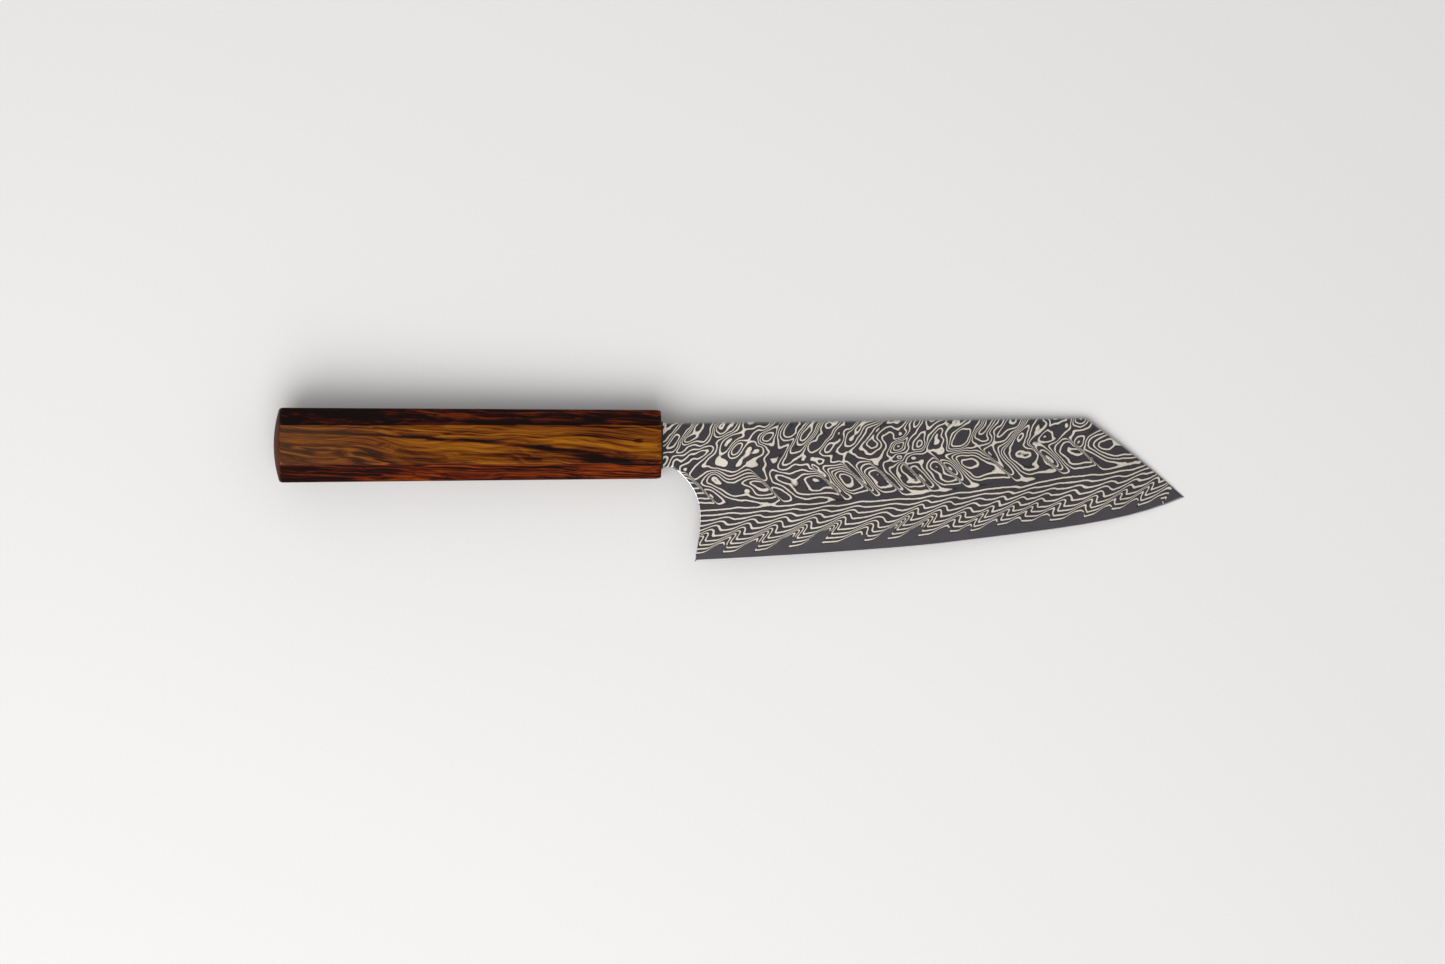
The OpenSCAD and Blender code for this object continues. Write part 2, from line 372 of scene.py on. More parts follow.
def above_waves(x, height, depth):
    """The height above the first layer once the waves are taken out. depth is 0 at the edge and 1 at
    the middle line."""
    # Higher up a wave leans further, falls over more of its length and rises less sharply, and at
    # the middle line it has all but faded out
    lean = 1 + 0.3 * ease(0.2, 0.6, depth)
    i, u, _ = cells(WAVES[:, 0] - WAVES[:, 1], x - height * lean)
    trough = WAVES[i, 1] + (WAVES[i + 1, 1] - WAVES[i, 1]) * u
    fall_width = 0.05 + 0.3 * ease(0.16, 0.34, depth) + 0.25 * ease(0.3, 0.7, depth)
    fall = 1 - ease(0, 1, (u - 1 + fall_width) / fall_width)
    strength = (WAVES[i, 2] - trough) * (1 - 0.85 * ease(0.5, 1.02, depth))
    strength = strength + 0.9 * ease(0.3, 0.5, depth) * (1 - ease(0.65, 0.95, depth))
    soft = 0.04 + 0.05 * ease(0.35, 0.7, depth)
    rise = 0.1 * u + 0.9 * sharp((u - 0.47) / soft)
    return height - trough - strength * rise * fall * (1 - 0.12 * ease(0.7, 0.95, u))


def layer_count(height):
    """How many layers lie below a height: closer together in the waves than further up."""
    return np.where(height < WAVE_HEIGHT, height / WAVE_PITCH,
                    WAVE_HEIGHT / WAVE_PITCH + (height - WAVE_HEIGHT) / UPPER_PITCH)


def faulted(x, y, seed):
    """How far the straight faults near the spine have shifted the layers at a place."""
    shift = 0
    wander = 0.7 * noise(x / 3, y / 3, seed)
    for top, reach, layers in FAULTS:
        across = x - top - FAULT_LEAN * (y - FAULT_TOP) + wander
        alive = 1 - ease(reach - 3, reach + 2, FAULT_TOP - y)
        step = sharp(across / 0.42) * (1 - ease(1.5, 9, across))
        shift = shift + layers * step * alive
    return shift


def layer(x, y, seed):
    """The number of the steel layer that the ground face cuts at a place."""
    edge = edge_height(x)
    height = y - edge
    middle = middle_line(x)
    depth = height / (middle - edge)
    over = y - middle
    base = layer_count(above_waves(x, height, depth))
    # Above the middle line the layers lie nearly level with the face, so the count hardly rises
    level = layer_count(middle - edge - 3)
    slow = base - (base - level) * 0.85 * ease(1, 9, over)
    i, u, length = cells(CURLS, x + 0.95 * over)
    strength = 3.7 * ease(0, 5, over) * (1 - ease(8, 15, over))
    # A curl builds up over the first part of its length and breaks off over its last 1.3 mm
    broken = 1.3
    fall = 1 - ease(0, 1, (u - 1 + broken / length) * length / broken)
    value = slow - strength * ease(0, 0.4, u) * fall
    # Around each closed ring the wandering and the faults die down
    calm = 1
    squareness = 2.6
    for along, up, long_half, high_half, lean, rings in EYES:
        around = (np.abs((x - along + lean * (y - up)) / long_half) ** squareness
                  + np.abs((y - up) / high_half) ** squareness)
        bump = np.exp(-1.1 * around ** (2 / squareness))
        value = value + 0.85 * rings * bump
        calm = calm * (1 - 0.75 * bump)
    bend = ease(0.9, 1.25, depth) * calm
    value = value + bend * (1.3 * rough(x / 7, y / 6, seed) + 0.2 * noise(x / 1.9, y / 1.9, seed + 9))
    plate = rough((x - 0.7 * y) / 5.2, (y + 0.3 * x) / 6.4, seed + 40)
    return value + calm * ease(7, 13, over) * (0.72 * faulted(x, y, seed) + 3.6 * plate)


def light_half(x, y, seed):
    """Half the share of a layer pair that is the bright steel, so that lines keep an even width."""
    step = 0.04
    slope = np.hypot(layer(x + step, y, seed) - layer(x - step, y, seed),
                     layer(x, y + step, seed) - layer(x, y - step, seed)) / (2 * step)
    least = 0.12 + 0.08 * noise(x / 5, y / 5, seed + 21)
    return np.clip(0.24 * slope, least, 0.175)


# ---------------------------------------------------------------- plates of steel

def inward(loop):
    """The inward direction at each point of a counterclockwise loop, long enough to keep the offset
    lines parallel at corners."""
    before = loop - np.roll(loop, 1, axis=0)
    after = np.roll(loop, -1, axis=0) - loop
    normals = []
    for way in (before, after):
        way = way / np.maximum(np.hypot(*way.T), 1e-9)[:, None]
        normals.append(np.stack([-way[:, 1], way[:, 0]], axis=1))
    mean = normals[0] + normals[1]
    mean /= np.maximum(np.hypot(*mean.T), 1e-9)[:, None]
    stretch = np.clip((mean * normals[0]).sum(1), 0.4, 1)
    return mean / stretch[:, None]


def inside(loop, points):
    """Which points lie inside a closed line."""
    x, y = points.T
    result = np.zeros(len(points), bool)
    for (ax, ay), (bx, by) in zip(loop, np.roll(loop, -1, axis=0)):
        if ay == by:
            continue
        crosses = (ay > y) != (by > y)
        result ^= crosses & (x < (bx - ax) * (y - ay) / (by - ay) + ax)
    return result


def filled(loop, spacing):
    """Triangles that fill a closed line, on a hexagonal grid of points where spacing isn't 0."""
    points = [Vector(p) for p in loop]
    if spacing:
        low, high = loop.min(0), loop.max(0)
        rows = np.arange(low[1], high[1], spacing * math.sqrt(0.75))
        grid = np.array([(x, y) for k, y in enumerate(rows)
                         for x in np.arange(low[0] + (k % 2) * spacing / 2, high[0], spacing)])
        grid = grid[inside(loop, grid)]
        # A grid point closer to the border than this would make slivers
        clear = 0.55 * spacing
        grid = grid[distance_to(loop, grid) > clear]
        points += [Vector(p) for p in grid]
    found = delaunay_2d_cdt(points, [], [list(range(len(loop)))], 1, 1e-5)
    made_from = {given: made for made, givens in enumerate(found[3]) for given in givens}
    border = [made_from.get(i) for i in range(len(loop))]
    if None in border:
        lost = [tuple(np.round(loop[i], 3)) for i, made in enumerate(border) if made is None]
        raise RuntimeError(f"Border points were lost in filling a steel face: {lost[:8]}")
    return np.array([tuple(v) for v in found[0]]), found[2], border


# The choil, which ends here along and up, is polished. These shares of the polish are on the spine,
# with the clipped point, and on the bevel of the edge.
CHOIL_END = (16, -9)
SPINE_POLISH, BEVEL_POLISH = 0.2, 0.4


class Plate:
    """A closed sheet of steel: a face above, a face below, and a rim of rings between them."""

    def __init__(self):
        self.bm = bmesh.new()
        self.rim = self.bm.verts.layers.float.new("rim")

    def face(self, loop, height, spacing, up):
        """Fills one face and returns its border's vertices in the loop's order."""
        places, triangles, border = filled(loop, spacing)
        verts = [self.bm.verts.new((p[0], p[1], height(*p))) for p in places]
        for t in triangles:
            corners = [verts[i] for i in t]
            self.bm.faces.new(corners if up else corners[::-1]).smooth = True
        return [verts[i] for i in border]

    def ring(self, loop, heights, polish):
        """A ring of vertices, with how far each is polished."""
        verts = [self.bm.verts.new((x, y, z)) for (x, y), z in zip(loop, heights)]
        for v, done in zip(verts, polish):
            v[self.rim] = float(done)
        return verts

    def join(self, upper, lower):
        """Closes the gap between two rings, or leaves points that they share alone."""
        for i in range(len(upper)):
            j = (i + 1) % len(upper)
            corners = []
            for v in (upper[i], lower[i], lower[j], upper[j]):
                if v not in corners:
                    corners.append(v)
            if len(corners) > 2:
                self.bm.faces.new(corners).smooth = True

    def build(self, loop, high, low, spacing, rims=None, both=False):
        """Makes a sheet between the heights that high and low give. rims is each border point's rim
        width, its depth and whether it is round. It shapes the upper face, which is the one with a
        grid of points, or both faces where both is set."""
        upper = self.half(loop, high, spacing, rims, True)
        lower = self.half(loop, low, spacing if both else 0, rims if both else None, False)
        self.join(upper, lower)

    def half(self, loop, height, spacing, rims, up):
        """One face with its rim, down to the last ring."""
        if rims is None:
            return self.face(loop, height, spacing, up)
        width, depth, curved = rims
        way = inward(loop)
        sign = 1 if up else -1
        inset = loop + way * width[:, None]
        ring = self.face(inset, height, spacing, up)
        on_choil = (loop[:, 0] < CHOIL_END[0]) & (loop[:, 1] < CHOIL_END[1])
        polish = np.where(on_choil & curved, 1, np.where(curved, SPINE_POLISH, BEVEL_POLISH))
        least_rim = 0.05
        polish = np.where(width > least_rim, polish, 0)
        steps = 8
        for k in range(1, steps + 1):
            turn = k / steps * math.pi / 2
            out = np.where(curved, 1 - math.sin(turn), 1 - k / steps)
            down = np.where(curved, 1 - math.cos(turn), k / steps)
            places = loop + way * (width * out)[:, None]
            heights = [height(*p) - sign * d * s for p, d, s in zip(inset, depth, down)]
            lower = self.ring(places, heights, polish)
            if up:
                self.join(ring, lower)
            else:
                self.join(lower, ring)
            ring = lower
        return ring

    def mesh(self, name):
        """The finished mesh, still in millimetres in the knife's own frame."""
        bmesh.ops.remove_doubles(self.bm, verts=self.bm.verts, dist=0.0005)
        bmesh.ops.dissolve_degenerate(self.bm, edges=self.bm.edges, dist=0.0004)
        bmesh.ops.recalc_face_normals(self.bm, faces=self.bm.faces)
        mesh = bpy.data.meshes.new(name)
        self.bm.to_mesh(mesh)
        self.bm.free()
        return mesh


def to_row(mesh):
    """Moves a steel mesh into the row's frame, in metres, with its edges over 13 degrees crisp."""
    mesh.transform(TO_ROW @ Matrix.Scale(MM, 4))
    mesh.set_sharp_from_angle(angle=math.radians(13))
    return mesh


def tang_loop():
    """The tang's outline, from a little inside the neck to its rounded end."""
    points = core_outline()
    start = cladding_start()
    lap = 0.4
    root = [p for p in points if abs(p[0] - start) < NUDGE]
    reach = min(abs(p[1]) for p in root)
    tang = [p for p in points if p[0] < start - NUDGE]
    tang += [(start + lap, reach), (start + lap, -reach)]
    centre = np.array(tang).mean(0)
    tang.sort(key=lambda p: math.atan2(p[1] - centre[1], p[0] - centre[0]))
    return counterclockwise(tang)


def tang_half():
    """Half the tang's thickness, well behind the neck."""
    points = cad_points("right_cladding")
    return points[points[:, 0] < cladding_start() - 5, 2].max()


# ---------------------------------------------------------------- settings

class KnifeSteelSettings(bpy.types.PropertyGroup):
    grid: bpy.props.FloatProperty(
        name="Grid", description="Spacing of the points on the patterned faces, in millimetres",
        default=0.36, min=0.2, max=2)
    rim_round: bpy.props.FloatProperty(
        name="Rim rounding", description="How far the choil and the spine are rounded",
        default=0.55 * MM, unit="LENGTH")
    edge_angle: bpy.props.FloatProperty(
        name="Edge angle", description="Angle of the sharpened edge on each side",
        default=math.radians(15), subtype="ANGLE")
    dark: bpy.props.StringProperty(
        name="Dark steel", description="Colour of the etched carbon steel layers", default="#403D40")
    light: bpy.props.StringProperty(
        name="Bright steel", description="Colour of the nickel steel layers", default="#D2CABC")
    core: bpy.props.StringProperty(
        name="Core steel", description="Colour of the bare core along the edge", default="#4B484B")
    polish: bpy.props.StringProperty(
        name="Polished rim", description="Colour of the polished choil and edge", default="#D9D8DB")


class KnifeHandleSettings(bpy.types.PropertyGroup):
    corner_power: bpy.props.FloatProperty(
        name="Corner power", description="How crisp the eight long corners are", default=150, min=8)
    around: bpy.props.IntProperty(
        name="Points around", description="Points around the handle", default=256, min=16)
    end_round: bpy.props.FloatProperty(
        name="End rounding", description="Rounding where the sides meet the ends",
        default=0.4 * MM, unit="LENGTH")
    dome_radius: bpy.props.FloatProperty(
        name="Dome radius", description="Radius of the domed butt", default=41 * MM, unit="LENGTH")
    pale: bpy.props.StringProperty(
        name="Pale wood", description="Colour of the light wood between the streaks",
        default="#9E620C")
    brown: bpy.props.StringProperty(
        name="Brown wood", description="Colour of the brown wood", default="#743D08")
    dark_brown: bpy.props.StringProperty(
        name="Dark wood", description="Colour beside the black streaks", default="#471803")
    streak: bpy.props.StringProperty(
        name="Streaks", description="Colour of the black streaks", default="#140401")
    # Painted shade: the tint that darkens and reddens the slanted sides
    red: bpy.props.StringProperty(
        name="Slanted sides", description="Tint that the slanted sides' wood adds",
        default="#F2A850")
    # Painted sheen: the grey that the flat sides are given toward the butt
    grey: bpy.props.StringProperty(
        name="Butt end", description="Greyer colour toward the butt", default="#6E4A30")


class KnifeStageSettings(bpy.types.PropertyGroup):
    lens: bpy.props.FloatProperty(
        name="Lens", description="Focal length on a 36 mm wide sensor", default=400, unit="CAMERA")
    view_width: bpy.props.FloatProperty(
        name="View width", description="Width of what the camera sees at the blade",
        default=485.8 * MM, unit="LENGTH")
    floor: bpy.props.StringProperty(
        name="Floor", description="Colour of the floor", default="#E9E8E6")


# ---------------------------------------------------------------- materials

def etched_steel(steel):
    """Pattern-welded steel, ground, then etched in acid: the carbon steel layers go dark and matt,
    darkest beside the nickel steel layers, which stay bright and a little warm. The choil is polished
    after the etch, and the spine lightly."""
    material, tree, shader = new_material("etched pattern-welded steel")
    place = knife_place(tree)
    smooth = {"interpolation_type": "SMOOTHSTEP"}
    multiply = {"data_type": "RGBA", "blend_type": "MULTIPLY"}
    count = add(tree, "ShaderNodeAttribute", attribute_name="layer").outputs["Fac"]
    half = add(tree, "ShaderNodeAttribute", attribute_name="light_half").outputs["Fac"]
    rim = add(tree, "ShaderNodeAttribute", attribute_name="rim").outputs["Fac"]
    # The lines wander a little, as layers drawn out under a hammer do
    wobble = add(tree, "ShaderNodeTexNoise", {"Vector": place, "Scale": 0.9, "Detail": 2.0})
    shift = add(tree, "ShaderNodeMath", [wobble, 0.5], operation="SUBTRACT")
    moved = add(tree, "ShaderNodeMath", [shift, 0.16, count], operation="MULTIPLY_ADD")
    share = add(tree, "ShaderNodeMath", [moved], operation="FRACT")
    off = add(tree, "ShaderNodeMath", [share, 0.5], operation="SUBTRACT")
    off = add(tree, "ShaderNodeMath", [off], operation="ABSOLUTE")
    # A bright line runs in the middle of each pair of layers, with the deepest etching beside it
    soft = 0.05
    low = add(tree, "ShaderNodeMath", [half, soft], operation="SUBTRACT")
    high = add(tree, "ShaderNodeMath", [half, soft], operation="ADD")
    bright = add(tree, "ShaderNodeMapRange", [off, low, high, 1.0, 0.0], **smooth)
    groove_end = add(tree, "ShaderNodeMath", [high, 0.12], operation="ADD")
    groove = add(tree, "ShaderNodeMapRange", [off, high, groove_end, 0.5, 1.0], **smooth)
    bitten = add(tree, "ShaderNodeMix", {0: 1.0, 6: linear(steel.dark), 7: groove},
                 **multiply).outputs[2]
    pattern = add(tree, "ShaderNodeMix", {0: bright, 6: bitten, 7: linear(steel.light)},
                  data_type="RGBA").outputs[2]
    patch = add(tree, "ShaderNodeTexNoise", {"Vector": place, "Scale": 0.06, "Detail": 2.0})
    tone = add(tree, "ShaderNodeMapRange", [patch, 0.3, 0.7, 0.9, 1.1])
    toned = add(tree, "ShaderNodeMix", {0: 1.0, 6: pattern, 7: tone}, **multiply).outputs[2]
    colour = add(tree, "ShaderNodeMix", {0: rim, 6: toned, 7: linear(steel.polish)},
                 data_type="RGBA").outputs[2]
    grain = add(tree, "ShaderNodeTexNoise", {"Vector": place, "Scale": 3.5, "Detail": 4.0})
    matt = add(tree, "ShaderNodeMapRange", {"Value": bright, "To Min": 0.5, "To Max": 0.34})
    matt = add(tree, "ShaderNodeMath", [grain, 0.12, matt], operation="MULTIPLY_ADD")
    roughness = add(tree, "ShaderNodeMix", {0: rim, 2: matt, 3: 0.18})
    height = add(tree, "ShaderNodeMath", [grain, 0.25, bright], operation="MULTIPLY_ADD")
    bump = add(tree, "ShaderNodeBump", {"Height": height, "Strength": 0.25, "Distance": 0.00002})
    tree.links.new(colour, shader.inputs["Base Color"])
    tree.links.new(roughness.outputs[0], shader.inputs["Roughness"])
    tree.links.new(bump.outputs[0], shader.inputs["Normal"])
    shader.inputs["Metallic"].default_value = 0.85
    return material


def satin_steel(steel):
    """High-carbon core steel, ground along the edge and lightly etched: an even grey with fine lines
    that run with the edge. Its choil is polished, and its sharpened bevel partly."""
    material, tree, shader = new_material("satin core steel")
    place = knife_place(tree)
    rim = add(tree, "ShaderNodeAttribute", attribute_name="rim").outputs["Fac"]
    # Grinding lines 0.2 mm apart, which is coarser than the real ones so that they show
    along = add(tree, "ShaderNodeVectorMath", [place, (0.12, 5.0, 5.0)], operation="MULTIPLY")
    lines = add(tree, "ShaderNodeTexNoise", {"Vector": along, "Scale": 1.0, "Detail": 3.0})
    cloud = add(tree, "ShaderNodeTexNoise", {"Vector": place, "Scale": 0.15, "Detail": 3.0})
    tone = add(tree, "ShaderNodeMath", [lines, cloud], operation="ADD")
    tone = add(tree, "ShaderNodeMapRange", [tone, 0.6, 1.4, 0.86, 1.14])
    base = add(tree, "ShaderNodeMix", {0: 1.0, 6: linear(steel.core), 7: tone},
               data_type="RGBA", blend_type="MULTIPLY").outputs[2]
    colour = add(tree, "ShaderNodeMix", {0: rim, 6: base, 7: linear(steel.polish)},
                 data_type="RGBA").outputs[2]
    matt = add(tree, "ShaderNodeMapRange", {"Value": lines, "To Min": 0.34, "To Max": 0.5})
    roughness = add(tree, "ShaderNodeMix", {0: rim, 2: matt, 3: 0.16})
    bump = add(tree, "ShaderNodeBump", {"Height": lines, "Strength": 0.2, "Distance": 0.00001})
    tree.links.new(colour, shader.inputs["Base Color"])
    tree.links.new(roughness.outputs[0], shader.inputs["Roughness"])
    tree.links.new(bump.outputs[0], shader.inputs["Normal"])
    shader.inputs["Metallic"].default_value = 0.85
    return material


def oiled_hardwood(wood):
    """Dense dark-streaked hardwood, sanded fine and oiled: growth rings cut as long V shapes that
    point to the blade, black streaks along the grain, painted shade that makes the side under the
    spine nearly black and both slanted sides darker and redder, a painted sheen that greys the flat
    sides toward the butt, fine pores, and a soft gloss over it all."""
    material, tree, shader = new_material("oiled ironwood")
    length, sizes = handle_sizes()
    place = knife_place(tree)
    x, y, z = add(tree, "ShaderNodeSeparateXYZ", [place]).outputs
    smooth = {"interpolation_type": "SMOOTHSTEP"}
    # The grain waves a few millimetres up and down, and sinks toward the blade by 1 mm in 14
    wave_place = add(tree, "ShaderNodeVectorMath", [place, (0.032, 0.06, 0.06)], operation="MULTIPLY")
    wave = add(tree, "ShaderNodeTexNoise", {"Vector": wave_place, "Scale": 1.0, "Detail": 1.0})
    sinking = add(tree, "ShaderNodeMath", [x, 0.07, y], operation="MULTIPLY_ADD")
    waved = add(tree, "ShaderNodeMath", [wave, 9.0, sinking], operation="MULTIPLY_ADD")
    bent = add(tree, "ShaderNodeCombineXYZ", [x, waved, z])
    # Four patterns drawn out along the handle: how much each changes in a millimetre along it and
    # across it, where it is taken from, its detail and its twist. The pores are 0.2 mm wide and some
    # 8 mm long.
    patterns = []
    for along, sideways, start, detail, twist in (
            (0.05, 0.28, 0.0, 2.0, 0.0), (0.022, 0.42, 4.0, 5.0, 0.5), (0.05, 1.9, 9.0, 3.0, 0.3),
            (0.12, 5.0, 2.0, 2.0, 0.0)):
        drawn = add(tree, "ShaderNodeVectorMath", [bent, (along, sideways, sideways), (start,) * 3],
                    operation="MULTIPLY_ADD")
        patterns.append(add(tree, "ShaderNodeTexNoise", {
            "Vector": drawn, "Scale": 1.0, "Detail": detail, "Distortion": twist}))
    warp, streaks, fine, pores = patterns
    # The tree's middle runs under the right side, 6.4 mm toward the edge, and nears it at the butt
    pith = add(tree, "ShaderNodeMath", [x, -0.0415, -9.8], operation="MULTIPLY_ADD")
    under = add(tree, "ShaderNodeMath", [z, pith], operation="SUBTRACT")
    beside = add(tree, "ShaderNodeMath", [y, 6.4], operation="ADD")
    off_pith = add(tree, "ShaderNodeCombineXYZ", [beside, under])
    radius = add(tree, "ShaderNodeVectorMath", [off_pith], operation="LENGTH").outputs["Value"]
    ring = add(tree, "ShaderNodeMath", [warp, 2.2, radius], operation="MULTIPLY_ADD")
    ring_place = add(tree, "ShaderNodeCombineXYZ", [ring])
    rings = add(tree, "ShaderNodeTexNoise", {"Vector": ring_place, "Scale": 1.7, "Detail": 4.0,
                                             "Roughness": 0.6})
    # Two dark growth rings make the long V behind the neck, and a small knot lies in front of it
    off_ring = add(tree, "ShaderNodeMath", [warp, 0.5, radius], operation="MULTIPLY_ADD")
    off_ring = add(tree, "ShaderNodeMath", [off_ring, 18.72], operation="SUBTRACT")
    off_ring = add(tree, "ShaderNodeMath", [off_ring], operation="ABSOLUTE")
    dark_rings = add(tree, "ShaderNodeMapRange", [off_ring, 0.34, 0.08], **smooth)
    off_knot = add(tree, "ShaderNodeVectorMath", [place, (0.55, 1, 0), (4.4, -1, 0)],
                   operation="MULTIPLY_ADD")
    off_knot = add(tree, "ShaderNodeVectorMath", [off_knot, off_knot], operation="DOT_PRODUCT")
    knot = add(tree, "ShaderNodeMapRange", [off_knot.outputs["Value"], 1.4, 0.0], **smooth)
    # Painted shade: the slanted side under the spine is darkened to nearly black, a little for its
    # darker wood but mostly as shade on a side turned from the light, and the one by the edge is
    # painted darker and redder as shade too. Both begin exactly at the handle's long corners
    front, butt = (math.sqrt(2) * sizes["slanted"][end] - sizes["across"][end] for end in (0, 1))
    corner = add(tree, "ShaderNodeMath", [x, (front - butt) / length, front], operation="MULTIPLY_ADD")
    over_corner = add(tree, "ShaderNodeMath", [y, corner], operation="SUBTRACT")
    spine_side_shade = add(tree, "ShaderNodeMapRange", [over_corner, -0.12, 0.12], **smooth)
    under_corner = add(tree, "ShaderNodeMath", [y, corner], operation="ADD")
    edge_side_shade = add(tree, "ShaderNodeMapRange", [under_corner, 0.12, -0.12], **smooth)
    at_butt = add(tree, "ShaderNodeMapRange", [x, -84.0, -106.0], **smooth)
    in_streaks = add(tree, "ShaderNodeMapRange", [streaks, 0.42, 0.6], **smooth)
    butt_streaks = add(tree, "ShaderNodeMath", [at_butt, in_streaks], operation="MULTIPLY")
    # The patterns add up to one tone, and the marks with a negative share darken it
    tone = add(tree, "ShaderNodeMath", [rings, 0.5], operation="MULTIPLY")
    # The negative shares at the slanted sides are painted shade
    for pattern, amount in ((streaks, 0.36), (fine, 0.2), (dark_rings, -0.085), (knot, -0.06),
                            (spine_side_shade, -0.075), (butt_streaks, -0.1), (edge_side_shade, -0.045)):
        tone = add(tree, "ShaderNodeMath", [pattern, amount, tone], operation="MULTIPLY_ADD")
    ramp = add(tree, "ShaderNodeValToRGB", [tone])
    stops = ramp.color_ramp.elements
    stops[0].position, stops[0].color = 0.435, linear(wood.streak)
    stops[1].position, stops[1].color = 0.615, linear(wood.pale)
    for at, code in ((0.475, wood.dark_brown), (0.53, wood.brown)):
        stops.new(at).color = linear(code)
    # Painted shade: a darker, more saturated tint multiplied onto the slanted sides
    slanted = add(tree, "ShaderNodeMath", [spine_side_shade, edge_side_shade], operation="MAXIMUM")
    shade_tint_share = add(tree, "ShaderNodeMath", [slanted, 0.85], operation="MULTIPLY")
    shade_tinted = add(tree, "ShaderNodeMix", {0: shade_tint_share, 6: ramp, 7: linear(wood.red)},
                 data_type="RGBA", blend_type="MULTIPLY").outputs[2]
    # Painted sheen: the flat sides are greyed toward the butt, standing in for the milky reflection of
    # the light on them
    flat_sides = add(tree, "ShaderNodeMath", [1.0, slanted], operation="SUBTRACT")
    sheen_toward_butt = add(tree, "ShaderNodeMapRange", [x, -70.0, -125.0, 0.0, 0.3], **smooth)
    painted_sheen_share = add(tree, "ShaderNodeMath", [sheen_toward_butt, flat_sides], operation="MULTIPLY")
    with_painted_sheen = add(tree, "ShaderNodeMix", {0: painted_sheen_share, 6: shade_tinted, 7: linear(wood.grey)},
                 data_type="RGBA").outputs[2]
    # The front and the domed butt, which are end grain, are coloured darker and made duller
    across = add(tree, "ShaderNodeVectorMath", [place, (0, 1, 1)], operation="MULTIPLY")
    across = add(tree, "ShaderNodeVectorMath", [across, across], operation="DOT_PRODUCT")
    from_butt = add(tree, "ShaderNodeMath", [x, length], operation="ADD")
    inside_dome = add(tree, "ShaderNodeMath", [across.outputs["Value"], -0.5 * MM / wood.dome_radius,
                                               from_butt], operation="MULTIPLY_ADD")
    domed_end = add(tree, "ShaderNodeMapRange", [inside_dome, 0.3, 0.08], **smooth)
    front_end = add(tree, "ShaderNodeMapRange", [x, -0.12, -0.02], **smooth)
    end_grain = add(tree, "ShaderNodeMath", [domed_end, front_end], operation="MAXIMUM")
    end_darkening = add(tree, "ShaderNodeMath", [end_grain, 0.75], operation="MULTIPLY")
    with_dark_ends = add(tree, "ShaderNodeMix", {0: end_darkening, 6: with_painted_sheen, 7: linear(wood.dark_brown)},
                 data_type="RGBA").outputs[2]
    shade = add(tree, "ShaderNodeMapRange", [pores, 0.3, 0.7, 0.82, 1.1], **smooth)
    colour = add(tree, "ShaderNodeMix", {0: 1.0, 6: with_dark_ends, 7: shade},
                 data_type="RGBA", blend_type="MULTIPLY").outputs[2]
    bump = add(tree, "ShaderNodeBump", {"Height": pores, "Strength": 0.15, "Distance": 0.00003})
    gloss = add(tree, "ShaderNodeMapRange", [pores, 0.3, 0.7, 0.4, 0.28], **smooth)
    gloss = add(tree, "ShaderNodeMath", [end_grain, 0.25, gloss], operation="MULTIPLY_ADD")
    tree.links.new(colour, shader.inputs["Base Color"])
    tree.links.new(gloss.outputs[0], shader.inputs["Roughness"])
    tree.links.new(bump.outputs[0], shader.inputs["Normal"])
    shader.inputs["IOR"].default_value = 1.5
    shader.inputs["Specular IOR Level"].default_value = 0.06
    return material


def dark_resin(name, code, roughness):
    """Filled epoxy that was wiped smooth as it set: nearly black, slightly uneven, half gloss."""
    material, tree, shader = new_material(name)
    place = knife_place(tree)
    cloud = add(tree, "ShaderNodeTexNoise", {"Vector": place, "Scale": 1.6, "Detail": 3.0})
    tone = add(tree, "ShaderNodeMapRange", {"Value": cloud, "To Min": 0.7, "To Max": 1.4})
    colour = add(tree, "ShaderNodeMix", {0: 1.0, 6: linear(code), 7: tone},
                 data_type="RGBA", blend_type="MULTIPLY").outputs[2]
    matt = add(tree, "ShaderNodeMapRange", {"Value": cloud, "To Min": roughness,
                                            "To Max": roughness + 0.15})
    bump = add(tree, "ShaderNodeBump", {"Height": cloud, "Strength": 0.2, "Distance": 0.00004})
    tree.links.new(colour, shader.inputs["Base Color"])
    tree.links.new(matt.outputs[0], shader.inputs["Roughness"])
    tree.links.new(bump.outputs[0], shader.inputs["Normal"])
    return material


# ---------------------------------------------------------------- operators

def clad_rims(loop, steel):
    """The cladding's rim: round along the choil, the neck and the spine, upright on the wave line."""
    waves = wave_line()
    on_waves = distance_to_open(waves, loop) < ON_LINE
    start = loop[:, 0] < cladding_start() + ON_LINE
    width = np.where(on_waves | start, 0, steel.rim_round / MM)
    # The rounding stays within the cladding's own thickness, which is about 0.6 of the flank's
    width = np.minimum(width, 0.85 * np.array([0.6 * flank(*p) for p in loop]))
    return width, width, np.ones(len(loop), bool)


def distance_to_open(line, points):
    """How far each point is from an open line's points and stretches."""
    a, b = line[:-1], line[1:]
    near = np.full(len(points), np.inf)
    for p, q in zip(a, b):
        way = q - p
        t = np.clip(((points - p) @ way) / max(way @ way, 1e-12), 0, 1)
        near = np.minimum(near, np.hypot(*(points - p - t[:, None] * way).T))
    return near


def subdivided(loop, longest):
    """The loop with points added so that no stretch is longer than this."""
    points = []
    for a, b in zip(loop, np.roll(loop, -1, axis=0)):
        count = max(1, math.ceil(np.hypot(*(b - a)) / longest))
        points += [a + (b - a) * k / count for k in range(count)]
    return np.array(points)


